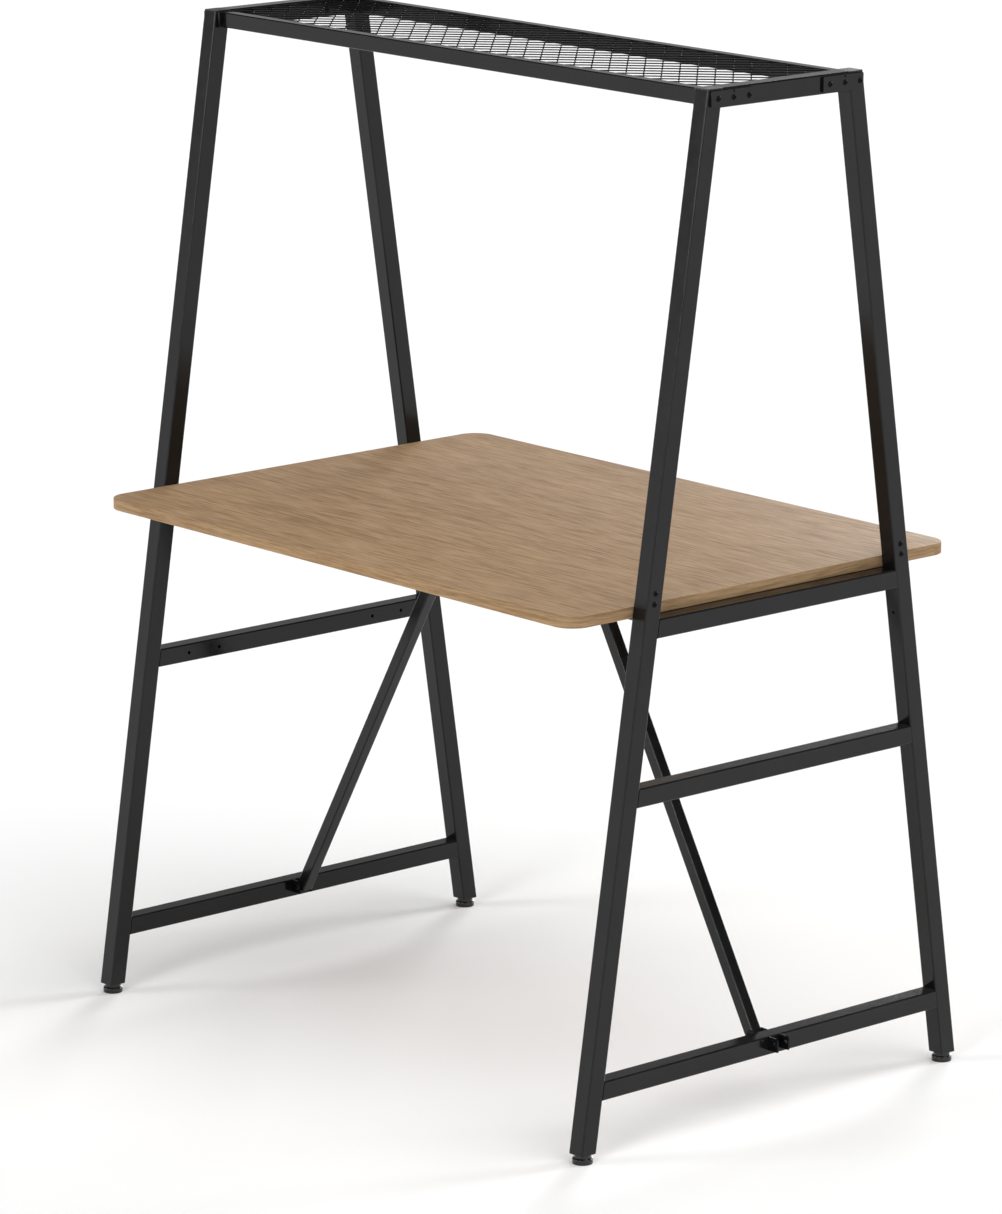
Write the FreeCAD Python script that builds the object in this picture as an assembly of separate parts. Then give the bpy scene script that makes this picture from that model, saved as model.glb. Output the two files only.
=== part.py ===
import FreeCAD, Part
import os
from math import cos
from math import radians
from math import sin
from math import tan

# Work table: two leaning side frames, a board between them, two braces and a wire shelf on top.
# Millimetres. X runs along the table, Y to the back, Z up.
# The origin lies on the floor under the middle of the table.

# Side frames
frame_length = 1200.0
floor_depth = 813.0
lean_angle = 8.6
tube_size = 30.0
tube_wall = 1.5
tube_corner = 2.5
bottom_rail_height = 111.0
middle_rail_height = 559.5
rail_hole_radius = 3.0
rail_hole_inner = 167.0
rail_hole_outer = 231.0
vent_hole_radius = 2.5
vent_hole_height = 759.5

# Levelling feet
leg_cut_height = 16.5
plug_flange = 1.5
plug_height = 30.0
plug_clearance = 0.1
pad_radius = 16.0
pad_height = 9.0
pad_round = 1.5
neck_radius = 13.0
neck_height = 5.7
stud_radius = 4.0
stud_length = 25.0
thread_clearance = 0.05
stud_seat_depth = 5.0

# Joint between each leg and its post
seam_height = 864.4
sleeve_length = 120.0
sleeve_wall = 2.0
sleeve_clearance = 0.2
sleeve_corner = 1.5
post_screw_offset = 8.2

# Board
board_side_gap = 1.0
board_depth = 808.0
board_thickness = 18.0
board_underside = 832.0
board_corner = 37.0
board_edge_round = 1.2

# Beams under the board
beam_offset = 190.0
beam_plate_thickness = 3.0
beam_plate_width = 66.0
beam_screw_offset = 24.0
beam_screw_reach = 6.0
board_screw_inner = 150.0
board_screw_margin = 120.0
board_screw_bite = 12.0
board_screw_radius = 2.2
ledge_width = 20.0
ledge_thickness = 3.0
ledge_gap = 0.3
ledge_leg_overlap = 6.0

# Braces
brace_size = 20.0
brace_wall = 1.5
brace_corner = 2.0
brace_angle = 29.7
brace_foot_setback = 13.8
brace_foot_height = 110.0
lug_thickness = 3.0
lug_side_gap = 0.3
lug_reach = 20.0
lug_height = 22.0
lug_round = 7.0
lug_hole_out = 14.5
lug_hole_drop = 10.0
fork_hole_radius = 3.3
brace_bolt_radius = 3.0
brace_bolt_head_radius = 5.2
brace_bolt_head_height = 3.2
brace_nut_radius = 5.6
brace_nut_height = 5.0
top_plate_thickness = 3.0
top_plate_length = 50.0
top_plate_width = 60.0
top_plate_screw_offset = 20.0

# Shelf
shelf_top = 1622.0
shelf_rail_height = 25.0
shelf_rail_depth = 20.0
shelf_rail_setback = 7.2
shelf_rail_wall = 1.5
shelf_rail_corner = 2.0
end_rail_centre = 1609.5
post_top = 1622.5
cap_flange = 2.0
cap_stub = 9.0
cap_wall = 2.5
bracket_thickness = 6.0
bracket_depth = 84.6
bracket_setback = 32.03
bracket_tongue_height = 14.0
corner_plate_thickness = 4.0
corner_plate_height = 24.0
corner_plate_round = 2.0
corner_screw_shift = 3.5
corner_screw_spacing = 31.6
corner_hole_radius = 1.6
corner_hole_rise = 9.3
wire_radius = 1.0
wire_pitch_x = 39.1
wire_pitch_y = 38.0
rising_wire_share = 0.806
falling_wire_share = 0.366

# Machine screws with domed heads
screw_radius = 2.5
screw_head_radius = 4.75
screw_head_height = 2.6
head_crown_share = 0.45
socket_radius = 1.6
socket_depth = 1.5

# Shared clearances
hole_clearance = 0.1
overrun = 5.0

# Sizes worked out from the ones above
lean = radians(lean_angle)
brace_lean = radians(brace_angle)
outer_x = frame_length / 2
inner_x = outer_x - tube_size
leg_x = outer_x - tube_size / 2
leg_run = tube_size / cos(lean)
board_top = board_underside + board_thickness
overall_top = post_top + cap_flange
upper_rail_height = board_underside - tube_size / 2
beam_height = board_underside - tube_size / 2
lug_inner_y = brace_size / 2 + lug_side_gap
lug_outer_y = lug_inner_y + lug_thickness
lug_top = bottom_rail_height + tube_size / 2
shelf_post_y = floor_depth / 2 - end_rail_centre * tan(lean) - leg_run / 2
bracket_centre = shelf_post_y - bracket_setback
bracket_front = bracket_centre + bracket_depth / 2
bracket_end = bracket_centre - bracket_depth / 2
shelf_rail_front = bracket_front - shelf_rail_setback
board_width = 2 * (inner_x - board_side_gap)
board_screw_outer = inner_x - board_screw_margin
plug_underside = leg_cut_height - plug_flange

SIDES = (("left", -1), ("right", 1))
ENDS = (("front", -1), ("rear", 1))


def vec(x, y, z):
    """Point in the table's own frame."""
    return FreeCAD.Vector(x, y, z)


def block(low, high):
    """Box between two corners."""
    size = high.sub(low)
    return Part.makeBox(size.x, size.y, size.z, low)


def outline(width, depth, corner):
    """Face of a rectangle with round corners, centred on the origin in XY."""
    x = width / 2
    y = depth / 2
    edges = []
    for turn in range(4):
        angle = turn * 90
        half_w, half_d = (x, y) if turn % 2 == 0 else (y, x)
        start = vec(half_w, -half_d + corner, 0)
        stop = vec(half_w, half_d - corner, 0)
        centre = vec(half_w - corner, half_d - corner, 0)
        middle = centre.add(vec(corner * cos(radians(45)), corner * sin(radians(45)), 0))
        after = vec(half_w - corner, half_d, 0)
        side = Part.LineSegment(start, stop).toShape()
        bend = Part.Arc(stop, middle, after).toShape()
        for edge in (side, bend):
            edge.rotate(vec(0, 0, 0), vec(0, 0, 1), angle)
            edges.append(edge)
    return Part.Face(Part.Wire(edges))


def bar(width, depth, corner, length):
    """Solid bar along +Z from the origin."""
    return outline(width, depth, corner).extrude(vec(0, 0, length))


def tube(width, depth, corner, wall, length):
    """Hollow bar along +Z from the origin."""
    outer = bar(width, depth, corner, length)
    inner = bar(width - 2 * wall, depth - 2 * wall, max(corner - wall, wall / 4), length)
    return outer.cut(inner)


def rod(radius, start, direction, length):
    """Round rod from a start point."""
    return Part.makeCylinder(radius, length, start, direction)


def slab(low, high):
    """Wide layer between two heights, used to cut parts level."""
    reach = frame_length + floor_depth
    return block(vec(-reach, -reach, low), vec(reach, reach, high))


def leg_axis_y(height):
    """Distance of a leg's centre line from the table's middle plane at a height."""
    return floor_depth / 2 - height * tan(lean) - leg_run / 2


def on_leg(shape, side, end):
    """Moves a bar that stands along +Z at the origin onto the line of one leg."""
    placed = shape.copy()
    placed.translate(vec(0, 0, -overrun))
    placed.rotate(vec(0, 0, 0), vec(1, 0, 0), end * lean_angle)
    placed.translate(vec(side * leg_x, end * leg_axis_y(0), 0))
    return placed


def leg_line(width, depth, corner, wall, low, high, side, end):
    """Part of a leaning tube or bar between two level cuts. No wall gives a solid bar."""
    length = high / cos(lean) + 4 * overrun
    if wall:
        shape = tube(width, depth, corner, wall, length)
    else:
        shape = bar(width, depth, corner, length)
    return on_leg(shape, side, end).common(slab(low, high))


def between_legs():
    """Prism that fills the space between the front and rear legs of both frames."""
    reach = outer_x + overrun
    low_y = floor_depth / 2 - leg_run
    high_y = low_y - overall_top * tan(lean)
    points = [vec(-reach, -low_y, 0), vec(-reach, low_y, 0), vec(-reach, high_y, overall_top)]
    points.append(vec(-reach, -high_y, overall_top))
    points.append(points[0])
    face = Part.Face(Part.makePolygon(points))
    return face.extrude(vec(2 * reach, 0, 0))


def cross_rail(side, height):
    """Tube from the front leg to the rear leg, its ends cut to the lean of the legs."""
    shape = tube(tube_size, tube_size, tube_corner, tube_wall, floor_depth)
    shape.translate(vec(0, 0, -floor_depth / 2))
    shape.rotate(vec(0, 0, 0), vec(1, 0, 0), 90)
    shape.translate(vec(side * leg_x, 0, height))
    return shape.common(between_legs())


def long_tube(width, depth, corner, wall, half_length, y, height):
    """Tube along X, centred on the table. Width lies in Z and depth in Y."""
    shape = tube(width, depth, corner, wall, 2 * half_length)
    shape.translate(vec(0, 0, -half_length))
    shape.rotate(vec(0, 0, 0), vec(0, 1, 0), 90)
    shape.translate(vec(0, y, height))
    return shape


def domed_screw(seat, direction, length, radius, head_radius, head_height):
    """Screw with a domed socket head: the seat is under the head, the shank runs along direction."""
    straight = head_height * (1 - head_crown_share)
    crown = head_height * head_crown_share
    rise = (head_radius ** 2 + crown ** 2) / (2 * crown)
    back = direction.negative()
    head = rod(head_radius, seat, back, head_height)
    centre = seat.add(back.multiply(straight + crown - rise))
    head = head.common(Part.makeSphere(rise, centre))
    head = head.fuse(rod(radius, seat, direction, length))
    top = seat.sub(vec(*[value * head_height for value in direction]))
    return head.cut(rod(socket_radius * head_radius / screw_head_radius, top, direction, socket_depth))


def leg(side, end):
    """Lower leg of a side frame, with the holes for its joint screw and, at the rear, the vent."""
    shape = leg_line(tube_size, tube_size, tube_corner, tube_wall, leg_cut_height, seam_height, side, end)
    shape = shape.cut(joint_hole(side, end, -1))
    if end > 0:
        face_y = leg_axis_y(vent_hole_height) - leg_run / 2
        start = vec(side * leg_x, face_y - overrun, vent_hole_height)
        shape = shape.cut(rod(vent_hole_radius, start, vec(0, 1, 0), 2 * overrun))
    return shape


def post(side, end):
    """Upper post above the seam, in line with its leg, drilled for the joint and the shelf."""
    shape = leg_line(tube_size, tube_size, tube_corner, tube_wall, seam_height, post_top, side, end)
    shape = shape.cut(joint_hole(side, end, 1))
    return shape.cut(shelf_screw_hole(side, end, 1))


def sleeve(side, end):
    """Short inner tube that joins a leg and its post."""
    size = tube_size - 2 * tube_wall - 2 * sleeve_clearance
    low = seam_height - sleeve_length / 2
    high = seam_height + sleeve_length / 2
    shape = leg_line(size, size, sleeve_corner, sleeve_wall, low, high, side, end)
    return shape.cut(joint_hole(side, end, -1)).cut(joint_hole(side, end, 1))


def joint_seat(side, end, way):
    """Where a joint screw's head sits on the outer face, below (-1) or above (1) the seam."""
    height = seam_height + way * post_screw_offset
    return vec(side * outer_x, end * leg_axis_y(height), height)


def joint_hole(side, end, way):
    """Hole for a joint screw through the outer wall and the sleeve behind it."""
    start = joint_seat(side, end, way).add(vec(side * overrun, 0, 0))
    return rod(screw_radius + hole_clearance, start, vec(-side, 0, 0), 2 * overrun + tube_wall)


def joint_screw(side, end, way):
    """Screw that holds a leg or a post to the sleeve inside."""
    length = tube_wall + sleeve_clearance + sleeve_wall + screw_radius
    seat = joint_seat(side, end, way)
    return domed_screw(seat, vec(-side, 0, 0), length, screw_radius, screw_head_radius, screw_head_height)


def foot_point(side, end):
    """Centre of a foot on the floor."""
    return vec(side * leg_x, end * leg_axis_y(leg_cut_height), 0)


def leg_plug(side, end):
    """Plastic plug in the leg's open end, threaded for the foot's stud."""
    size = tube_size - 2 * tube_wall - 2 * plug_clearance
    top = leg_cut_height + plug_height
    body = leg_line(size, size, tube_corner - tube_wall, 0, plug_underside, top, side, end)
    flange = leg_line(tube_size, tube_size, tube_corner, 0, plug_underside, leg_cut_height, side, end)
    hole = rod(stud_radius + thread_clearance, foot_point(side, end), vec(0, 0, 1), top + overrun)
    return body.fuse(flange).removeSplitter().cut(hole)


def foot_pad(side, end):
    """Round foot with a short neck and a seat for the stud."""
    centre = foot_point(side, end)
    disc = rod(pad_radius, centre, vec(0, 0, 1), pad_height)
    rims = [edge for edge in disc.Edges if edge.Closed]
    disc = disc.makeFillet(pad_round, rims)
    neck = rod(neck_radius, centre, vec(0, 0, 1), pad_height + neck_height)
    seat_start = centre.add(vec(0, 0, pad_height + neck_height - stud_seat_depth))
    seat = rod(stud_radius + hole_clearance, seat_start, vec(0, 0, 1), stud_seat_depth + overrun)
    return disc.fuse(neck).cut(seat)


def foot_stud(side, end):
    """Threaded stud of a foot, drawn at its full diameter."""
    start = foot_point(side, end).add(vec(0, 0, pad_height + neck_height - stud_seat_depth))
    length = stud_seat_depth + plug_underside - pad_height - neck_height + stud_length
    stud = rod(stud_radius, start, vec(0, 0, 1), length)
    tip = [edge for edge in stud.Edges if edge.Closed and edge.CenterOfMass.z > plug_underside]
    return stud.makeChamfer(stud_radius / 6, tip)


def middle_rail(side):
    """Middle rail with two pairs of holes in its inner face."""
    shape = cross_rail(side, middle_rail_height)
    for end in (-1, 1):
        for offset in (rail_hole_inner, rail_hole_outer):
            start = vec(side * (inner_x - overrun), end * offset, middle_rail_height)
            shape = shape.cut(rod(rail_hole_radius, start, vec(side, 0, 0), overrun + 2 * tube_wall))
    return shape


def upper_rail(side):
    """Rail beside the board, drilled in its inner face for the beams' screws."""
    shape = cross_rail(side, upper_rail_height)
    for seat in beam_screw_seats(side):
        shape = shape.cut(rod(screw_radius + hole_clearance, seat, vec(side, 0, 0), tube_size / 2))
    return shape


def beam_screw_seats(side):
    """Seats of the screws that hold the beams' end plates to the upper rail."""
    seats = []
    for end in (-1, 1):
        for way in (-1, 1):
            y = end * beam_offset + way * beam_screw_offset
            seats.append(vec(side * (inner_x - beam_plate_thickness), y, beam_height))
    return seats


def board_screw_points():
    """Middle of each screw that goes up through a beam into the board."""
    points = []
    for x in (-board_screw_outer, -board_screw_inner, board_screw_inner, board_screw_outer):
        for end in (-1, 1):
            points.append(vec(x, end * beam_offset, board_underside))
    return points


def top_plate_points():
    """Middle of each screw that goes up through a brace's top plate into the board."""
    points = []
    for side in (-1, 1):
        for way in (-1, 1):
            x = side * brace_axis_x(board_underside - top_plate_thickness)
            points.append(vec(x, way * top_plate_screw_offset, board_underside))
    return points


def board_screw_hole(point, depth):
    """Clear hole for a board screw, from depth below the board to just past its tip."""
    start = point.sub(vec(0, 0, depth))
    length = depth + board_screw_bite + hole_clearance
    return rod(board_screw_radius + hole_clearance, start, vec(0, 0, 1), length)


def board():
    """Board with round corners and softened edges, with blind holes below for its screws."""
    shape = bar(board_width, board_depth, board_corner, board_thickness)
    shape.translate(vec(0, 0, board_underside))
    rims = [edge for edge in shape.Edges if edge.BoundBox.ZLength < board_edge_round]
    shape = shape.makeFillet(board_edge_round, rims)
    for point in board_screw_points() + top_plate_points():
        shape = shape.cut(board_screw_hole(point, overrun))
    return shape


def beam(end):
    """Beam along the table under the board."""
    half = inner_x - beam_plate_thickness
    shape = long_tube(tube_size, tube_size, tube_corner, tube_wall, half, end * beam_offset, beam_height)
    for point in board_screw_points():
        if point.y * end > 0:
            shape = shape.cut(board_screw_hole(point, tube_size + overrun))
    return shape


def beam_end_plates():
    """Flat plates on the ends of the beams, against the upper rails and under the ledges."""
    plates = []
    for _, side in SIDES:
        for _, end in ENDS:
            near = side * inner_x
            far = side * (inner_x - beam_plate_thickness)
            low = vec(min(near, far), end * beam_offset - beam_plate_width / 2, beam_height - tube_size / 2)
            high = vec(max(near, far), end * beam_offset + beam_plate_width / 2,
                       board_underside - ledge_thickness)
            plate = block(low, high)
            for seat in beam_screw_seats(side):
                if seat.y * end > 0:
                    start = seat.sub(vec(side * overrun, 0, 0))
                    plate = plate.cut(rod(screw_radius + hole_clearance, start, vec(side, 0, 0), 2 * overrun))
            plates.append(plate)
    return Part.makeCompound(plates)


def board_ledges():
    """Flat bars on the upper rails' inner faces, on both sides of the beams, that the board rests on."""
    ledges = []
    beam_near = beam_offset - tube_size / 2 - ledge_gap
    beam_far = beam_offset + tube_size / 2 + ledge_gap
    ledge_end = leg_axis_y(board_underside) - leg_run / 2 + ledge_leg_overlap
    for _, side in SIDES:
        near = side * inner_x
        far = side * (inner_x - ledge_width)
        for low_y, high_y in ((-ledge_end, -beam_far), (-beam_near, beam_near), (beam_far, ledge_end)):
            low = vec(min(near, far), low_y, board_underside - ledge_thickness)
            high = vec(max(near, far), high_y, board_underside)
            ledges.append(block(low, high))
    return Part.makeCompound(ledges)


def beam_screws():
    """Screws through the beams' end plates into the upper rails."""
    screws = []
    for _, side in SIDES:
        for seat in beam_screw_seats(side):
            screws.append(domed_screw(seat, vec(side, 0, 0), beam_plate_thickness + beam_screw_reach,
                                      screw_radius, screw_head_radius, screw_head_height))
    return Part.makeCompound(screws)


def board_screws():
    """Screws up through the beams and the braces' top plates into the board."""
    screws = []
    stacks = [(point, tube_size) for point in board_screw_points()]
    stacks += [(point, top_plate_thickness) for point in top_plate_points()]
    for point, stack in stacks:
        seat = point.sub(vec(0, 0, stack))
        screws.append(domed_screw(seat, vec(0, 0, 1), stack + board_screw_bite,
                                  board_screw_radius, screw_head_radius, screw_head_height))
    return Part.makeCompound(screws)


def brace_axis_x(height):
    """Distance of a brace's centre line from the middle of the table at a height."""
    return inner_x - brace_foot_setback - (height - bottom_rail_height) * tan(brace_lean)


def brace(side):
    """Square tube from the fork on the bottom rail up and inwards to the top plate."""
    low = brace_foot_height
    high = board_underside - top_plate_thickness
    run = (high - low) / cos(brace_lean)
    shape = tube(brace_size, brace_size, brace_corner, brace_wall, run + 4 * brace_size)
    shape.translate(vec(0, 0, -2 * brace_size))
    shape.rotate(vec(0, 0, 0), vec(0, 1, 0), -side * brace_angle)
    shape.translate(vec(side * brace_axis_x(low), 0, low))
    return shape.common(slab(low, high)).cut(fork_hole(side, -1))


def fork_centre(side, way):
    """Middle of the hole through a fork on the rail's outer (1) or inner (-1) face."""
    face = outer_x if way > 0 else inner_x
    return vec(side * (face + way * lug_hole_out), 0, lug_top - lug_hole_drop)


def fork_hole(side, way):
    """Clear hole along Y through both lugs of a fork."""
    start = fork_centre(side, way).sub(vec(0, lug_outer_y + overrun, 0))
    return rod(fork_hole_radius, start, vec(0, 1, 0), 2 * (lug_outer_y + overrun))


def fork_lugs(side, ways):
    """Pairs of flat lugs on a bottom rail: a fork inwards for the brace, or one outwards, or both."""
    lugs = []
    for way in ways:
        face = outer_x if way > 0 else inner_x
        near = side * face
        far = side * (face + way * lug_reach)
        for end in (-1, 1):
            low_y = min(end * lug_inner_y, end * lug_outer_y)
            low = vec(min(near, far), low_y, lug_top - lug_height)
            high = vec(max(near, far), low_y + lug_thickness, lug_top)
            lug = block(low, high)
            corner = vec(far, low_y + lug_thickness / 2, lug_top)
            rounded = [edge for edge in lug.Edges if edge.CenterOfMass.isEqual(corner, lug_thickness / 2)]
            lug = lug.makeFillet(lug_round, rounded)
            lugs.append(lug.cut(fork_hole(side, way)))
    return Part.makeCompound(lugs)


def brace_bolts():
    """Bolts along Y through the inner forks and the braces."""
    bolts = []
    for _, side in SIDES:
        seat = fork_centre(side, -1).sub(vec(0, lug_outer_y, 0))
        length = 2 * lug_outer_y + brace_nut_height
        bolts.append(domed_screw(seat, vec(0, 1, 0), length, brace_bolt_radius,
                                 brace_bolt_head_radius, brace_bolt_head_height))
    return Part.makeCompound(bolts)


def brace_nuts():
    """Hexagon nuts on the rear ends of the brace bolts."""
    nuts = []
    for _, side in SIDES:
        centre = fork_centre(side, -1).add(vec(0, lug_outer_y, 0))
        corners = []
        for turn in range(7):
            angle = radians(60 * turn)
            corners.append(centre.add(vec(brace_nut_radius * sin(angle), 0, brace_nut_radius * cos(angle))))
        nut = Part.Face(Part.makePolygon(corners)).extrude(vec(0, brace_nut_height, 0))
        bore = rod(brace_bolt_radius + thread_clearance, centre, vec(0, 1, 0), brace_nut_height)
        nuts.append(nut.cut(bore))
    return Part.makeCompound(nuts)


def top_plates():
    """Plates on the upper ends of the braces, under the board."""
    plates = []
    low_z = board_underside - top_plate_thickness
    for _, side in SIDES:
        x = side * brace_axis_x(low_z)
        low = vec(x - top_plate_length / 2, -top_plate_width / 2, low_z)
        high = vec(x + top_plate_length / 2, top_plate_width / 2, board_underside)
        plate = block(low, high)
        for point in top_plate_points():
            if point.x * side > 0:
                plate = plate.cut(board_screw_hole(point, top_plate_thickness + overrun))
        plates.append(plate)
    return Part.makeCompound(plates)


def post_cap(side, end):
    """Plastic cap on a post's top, with a hollow stub inside the tube."""
    size = tube_size - 2 * tube_wall - 2 * plug_clearance
    flange = leg_line(tube_size, tube_size, tube_corner, 0, post_top, overall_top, side, end)
    stub = leg_line(size, size, tube_corner - tube_wall, cap_wall, post_top - cap_stub, post_top, side, end)
    return flange.fuse(stub)


def shelf_screw_points(side, end):
    """Head seats of the three screws at one corner of the shelf, the post's own screw first."""
    seats = []
    for step in (1, 0, -1):
        y = end * (bracket_centre + step * corner_screw_spacing) + side * corner_screw_shift
        seats.append(vec(side * (outer_x + corner_plate_thickness), y, end_rail_centre))
    return seats


def shelf_screw_hole(side, end, step):
    """Clear hole along X for one corner screw: step 1 goes through the post, 0 and -1 through the rail."""
    point = shelf_screw_points(side, end)[1 - step]
    start = point.add(vec(side * overrun, 0, 0))
    length = corner_plate_thickness + tube_size + bracket_thickness + 2 * overrun
    return rod(screw_radius + hole_clearance, start, vec(-side, 0, 0), length)


def corner_plate(side, end):
    """Flat plate on the outer face that ties the post to the shelf's end rail."""
    width = bracket_front - bracket_end
    shape = bar(corner_plate_height, width, corner_plate_round, corner_plate_thickness)
    shape.rotate(vec(0, 0, 0), vec(0, 1, 0), 90)
    if side < 0:
        shape.translate(vec(-corner_plate_thickness, 0, 0))
    shape.translate(vec(side * outer_x, end * bracket_centre, end_rail_centre))
    for step in (1, 0, -1):
        shape = shape.cut(shelf_screw_hole(side, end, step))
    hole_y = shelf_screw_points(side, end)[1].y
    start = vec(side * (outer_x - overrun), hole_y, end_rail_centre + corner_hole_rise)
    return shape.cut(rod(corner_hole_radius, start, vec(side, 0, 0), corner_plate_thickness + 2 * overrun))


def end_bracket(side, end):
    """Bracket on a long shelf rail's end: a block beside the post and a tongue along the end rail."""
    near = side * inner_x
    far = side * (inner_x - bracket_thickness)
    rail_inner = shelf_rail_front - shelf_rail_depth
    parts = []
    low_z = shelf_top - shelf_rail_height
    tongue_low = end_rail_centre - bracket_tongue_height / 2
    tongue_high = end_rail_centre + bracket_tongue_height / 2
    for y_from, y_to, z_from, z_to in ((bracket_front, rail_inner, low_z, shelf_top),
                                       (rail_inner, bracket_end, tongue_low, tongue_high)):
        low = vec(min(near, far), min(end * y_from, end * y_to), z_from)
        high = vec(max(near, far), max(end * y_from, end * y_to), z_to)
        parts.append(block(low, high))
    shape = parts[0].fuse(parts[1]).removeSplitter()
    for step in (1, 0, -1):
        shape = shape.cut(shelf_screw_hole(side, end, step))
    return shape


def shelf_screws():
    """Long screws from the corner plates through post or rail into the end brackets."""
    screws = []
    length = corner_plate_thickness + tube_size + bracket_thickness
    for _, side in SIDES:
        for _, end in ENDS:
            for seat in shelf_screw_points(side, end):
                screws.append(domed_screw(seat, vec(-side, 0, 0), length,
                                          screw_radius, screw_head_radius, screw_head_height))
    return Part.makeCompound(screws)


def shelf_end_rail(side):
    """Rail across the top of one side frame, between its posts."""
    shape = cross_rail(side, end_rail_centre)
    for end in (-1, 1):
        for step in (0, -1):
            shape = shape.cut(shelf_screw_hole(side, end, step))
    return shape


def shelf_long_rail(end):
    """Rail along the front or rear of the shelf, between the end brackets."""
    half = inner_x - bracket_thickness
    y = end * (shelf_rail_front - shelf_rail_depth / 2)
    height = shelf_top - shelf_rail_height / 2
    return long_tube(shelf_rail_height, shelf_rail_depth, shelf_rail_corner, shelf_rail_wall, half, y, height)


def shelf_wires():
    """Two layers of straight wires that cross in diamonds between the shelf's rails."""
    half_y = shelf_rail_front - shelf_rail_depth
    slope = wire_pitch_y / wire_pitch_x
    reach = inner_x + half_y / slope + wire_pitch_x
    count = int(reach / wire_pitch_x) + 1
    window = block(vec(-inner_x, -half_y, 0), vec(inner_x, half_y, overall_top))
    wires = []
    for layer, way, share in ((0, 1, rising_wire_share), (1, -1, falling_wire_share)):
        height = shelf_top - wire_radius - 2 * wire_radius * layer
        direction = vec(1, way * slope, 0).normalize()
        length = 2 * reach / direction.x
        for index in range(-count, count + 1):
            middle = vec((index + share) * wire_pitch_x, 0, height)
            start = middle.sub(vec(direction.x * length / 2, direction.y * length / 2, 0))
            wire = rod(wire_radius, start, direction, length).common(window)
            wires += [solid for solid in wire.Solids if solid.BoundBox.XLength > 2 * wire_radius]
    return Part.makeCompound(wires)


def save(name, shape):
    """Writes one node."""
    shape.exportStep("parts/" + name + ".step")


def main():
    os.makedirs("parts", exist_ok=True)
    save("tabletop", board())
    for side_name, side in SIDES:
        save(side_name + "_bottom_rail", cross_rail(side, bottom_rail_height))
        save(side_name + "_middle_rail", middle_rail(side))
        save(side_name + "_upper_rail", upper_rail(side))
        save(side_name + "_brace", brace(side))
        save(side_name + "_fork_lugs", fork_lugs(side, (-1, 1) if side > 0 else (-1,)))
        save("shelf_" + side_name + "_rail", shelf_end_rail(side))
        for end_name, end in ENDS:
            corner = end_name + "_" + side_name
            save(corner + "_leg", leg(side, end))
            save(corner + "_post", post(side, end))
            save(corner + "_sleeve", sleeve(side, end))
            save(corner + "_leg_plug", leg_plug(side, end))
            save(corner + "_foot_pad", foot_pad(side, end))
            save(corner + "_foot_stud", foot_stud(side, end))
            save(corner + "_post_cap", post_cap(side, end))
            save(corner + "_corner_plate", corner_plate(side, end))
    for end_name, end in ENDS:
        save(end_name + "_beam", beam(end))
        save("shelf_" + end_name + "_rail", shelf_long_rail(end))
    save("beam_end_plates", beam_end_plates())
    save("beam_screws", beam_screws())
    save("board_ledges", board_ledges())
    save("board_screws", board_screws())
    save("brace_top_plates", top_plates())
    save("brace_bolts", brace_bolts())
    save("brace_nuts", brace_nuts())
    save("shelf_end_brackets", Part.makeCompound([end_bracket(side, end) for _, side in SIDES
                                                  for _, end in ENDS]))
    save("shelf_screws", shelf_screws())
    save("shelf_wires", shelf_wires())
    save("joint_screws", Part.makeCompound([joint_screw(side, end, way) for _, side in SIDES
                                            for _, end in ENDS for way in (-1, 1)]))


main()
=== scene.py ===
from math import cos, hypot, pi, radians, sin

import bmesh
import bpy
from bpy.props import FloatProperty, FloatVectorProperty, IntProperty, PointerProperty
from bpy.types import NodeSocket, Operator, Panel, PropertyGroup
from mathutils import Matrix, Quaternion, Vector


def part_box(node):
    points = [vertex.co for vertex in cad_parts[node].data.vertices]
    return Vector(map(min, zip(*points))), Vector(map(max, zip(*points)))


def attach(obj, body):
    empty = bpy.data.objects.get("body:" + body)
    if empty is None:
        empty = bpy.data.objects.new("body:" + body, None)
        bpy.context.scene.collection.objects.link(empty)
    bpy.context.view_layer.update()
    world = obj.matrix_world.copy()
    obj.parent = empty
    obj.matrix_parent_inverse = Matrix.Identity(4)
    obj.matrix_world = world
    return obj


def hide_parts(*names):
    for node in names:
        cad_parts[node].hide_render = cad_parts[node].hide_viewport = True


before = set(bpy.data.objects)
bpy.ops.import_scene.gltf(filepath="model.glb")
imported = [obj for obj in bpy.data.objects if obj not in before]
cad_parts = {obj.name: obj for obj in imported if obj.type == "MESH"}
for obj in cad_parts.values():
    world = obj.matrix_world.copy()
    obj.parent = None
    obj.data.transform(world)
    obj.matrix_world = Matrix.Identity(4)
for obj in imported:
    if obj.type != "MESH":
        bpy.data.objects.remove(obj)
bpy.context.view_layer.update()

bl_info = {
    "name": "Work table",
    "version": (1, 0, 0),
    "blender": (4, 5, 0),
    "location": "3D View > Sidebar > Work table",
    "description": "Dresses the packed work table: board, steel frame, shelf net, screws and feet",
    "category": "Object",
}

# The body that all but the feet belong to
BODY = "frame"
CORNERS = ("front_left", "front_right", "rear_left", "rear_right")

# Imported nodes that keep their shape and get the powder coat
PLAIN_STEEL = (
    [side + part for side in ("left", "right")
     for part in ("_bottom_rail", "_middle_rail", "_upper_rail", "_brace")]
    + ["shelf_%s_rail" % side for side in ("left", "right", "front", "rear")]
    + ["front_beam", "rear_beam"]
    + [corner + part for corner in CORNERS for part in ("_leg", "_post", "_sleeve")]
)

# Widths of the rounded edges, in metres
PLATE_ROUND = 0.0005
BRACKET_ROUND = 0.0006
CAP_ROUND = 0.0008

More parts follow.
